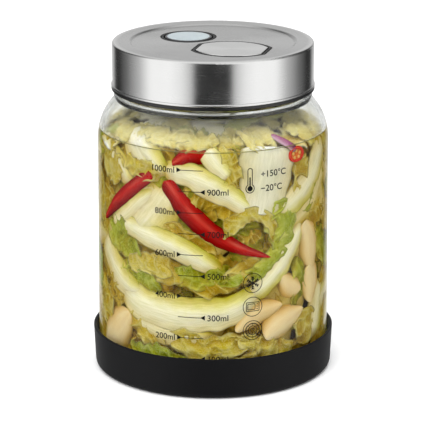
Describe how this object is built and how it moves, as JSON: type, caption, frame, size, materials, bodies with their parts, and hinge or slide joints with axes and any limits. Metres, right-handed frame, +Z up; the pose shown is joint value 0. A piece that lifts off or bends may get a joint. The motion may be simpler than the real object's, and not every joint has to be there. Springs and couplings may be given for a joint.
{
  "type": "fermentation jar with airlock",
  "caption": "Round glass fermentation jar in a soft black boot, closed by a steel screw lid with a press pump and a one-way vent button.",
  "frame": {"origin": "centre of the boot's footprint, on the surface that the jar stands on", "axes": "+Z up along the jar's axis, -Y towards the printed scale on the front, +X to the right seen from the front"},
  "size_m": [0.1208, 0.1208, 0.1658],
  "materials": {
    "boot_silicone": "matte moulded silicone",
    "clear_glass": "clear pressed and blown glass",
    "gasket_silicone": "soft translucent silicone",
    "black_plastic": "moulded polypropylene",
    "brushed_cover": "satin drawn stainless steel",
    "brushed_plate": "satin stamped stainless steel",
    "trim_metal": "satin turned edge",
    "white_silicone": "milky translucent silicone",
    "white_plastic": "moulded polypropylene",
    "clear_plastic": "milky clear moulded plastic",
    "screw_steel": "plain stainless steel",
    "spring_steel": "drawn stainless wire"
  },
  "bodies": {
    "boot": {"base_sleeve": "boot_silicone"},
    "jar": {"glass_jar": "clear_glass"},
    "gasket": {"lid_gasket": "gasket_silicone"},
    "lid": {"lid_liner": "black_plastic", "steel_cover": "brushed_cover", "pump_ring": "trim_metal", "vent_ring": "trim_metal", "pump_cylinder": "clear_plastic", "cylinder_seal": "gasket_silicone", "cylinder_screws": "screw_steel", "intake_valve": "gasket_silicone", "vent_seat": "clear_plastic", "vent_seat_seal": "gasket_silicone", "vent_valve": "gasket_silicone", "pump_spring": "spring_steel", "vent_spring": "spring_steel"},
    "pump": {"pump_plate": "brushed_plate", "pump_button": "black_plastic", "piston": "white_plastic", "piston_seal": "gasket_silicone", "piston_screw": "screw_steel"},
    "vent": {"vent_button": "white_silicone", "vent_core": "white_plastic"}
  },
  "joints": [
    {"name": "jar_lift", "type": "slide", "parent": "boot", "child": "jar", "axis": [0, 0, 1], "range_m": [0, 0.03]},
    {"name": "lid_lift", "type": "slide", "parent": "jar", "child": "gasket", "axis": [0, 0, 1], "range_m": [0, 0.06]},
    {"name": "lid_turn", "type": "hinge", "parent": "gasket", "child": "lid", "pos_m": [0, 0, 0.16], "axis": [0, 0, 1], "range_deg": [0, 360]},
    {"name": "pump_press", "type": "slide", "parent": "lid", "child": "pump", "axis": [0, 0, -1], "range_m": [0, 0.005], "stiffness_N_per_m": 900, "springref_m": -0.004, "deforming": ["pump_spring"]},
    {"name": "vent_press", "type": "slide", "parent": "lid", "child": "vent", "axis": [0, 0, -1], "range_m": [0, 0.0025], "stiffness_N_per_m": 600, "springref_m": -0.003, "deforming": ["vent_spring", "vent_valve"]}
  ]
}
